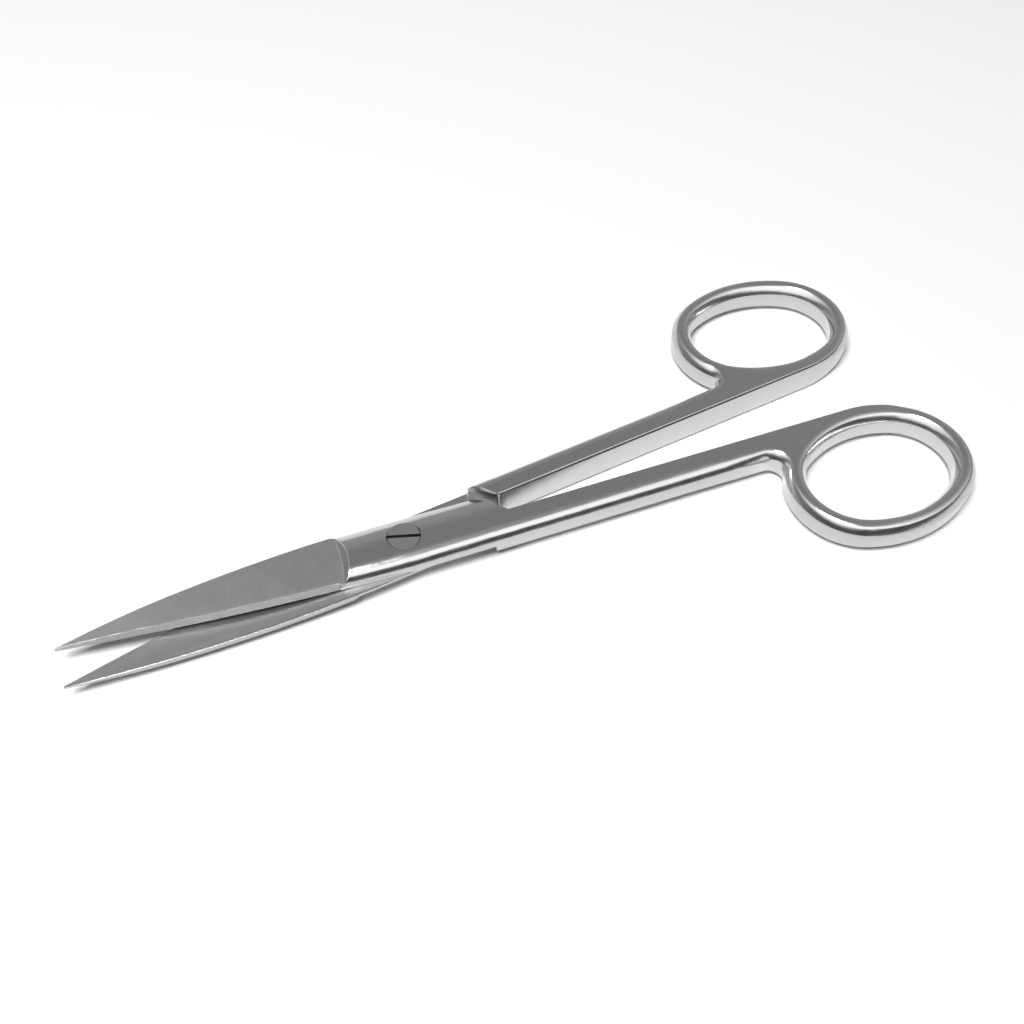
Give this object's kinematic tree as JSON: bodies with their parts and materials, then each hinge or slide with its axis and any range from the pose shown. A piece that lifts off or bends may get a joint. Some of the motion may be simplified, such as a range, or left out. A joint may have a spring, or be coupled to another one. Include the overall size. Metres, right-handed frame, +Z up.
{
  "type": "dissecting scissors",
  "caption": "Straight dissecting scissors in stainless steel with slender pointed blades, a slotted screw joint and oval finger rings.",
  "frame": {"origin": "on the hinge axis, in the plane that the scissors lie on", "axes": "+Z up along the hinge axis, +X towards the finger rings, the tips along -X, the scissors opening towards +Y and -Y"},
  "size_m": [0.144, 0.0616, 0.0055],
  "materials": {
    "forged_steel": "satin, ground blades",
    "screw_steel": "polished"
  },
  "bodies": {
    "lower": {"lower_half": "forged_steel", "pivot_screw": "screw_steel"},
    "upper": {"upper_half": "forged_steel"}
  },
  "joints": [
    {"name": "opening", "type": "hinge", "parent": "lower", "child": "upper", "pos_m": [0, 0, 0], "axis": [0, 0, -1], "range_deg": [-7.4, 130]}
  ]
}
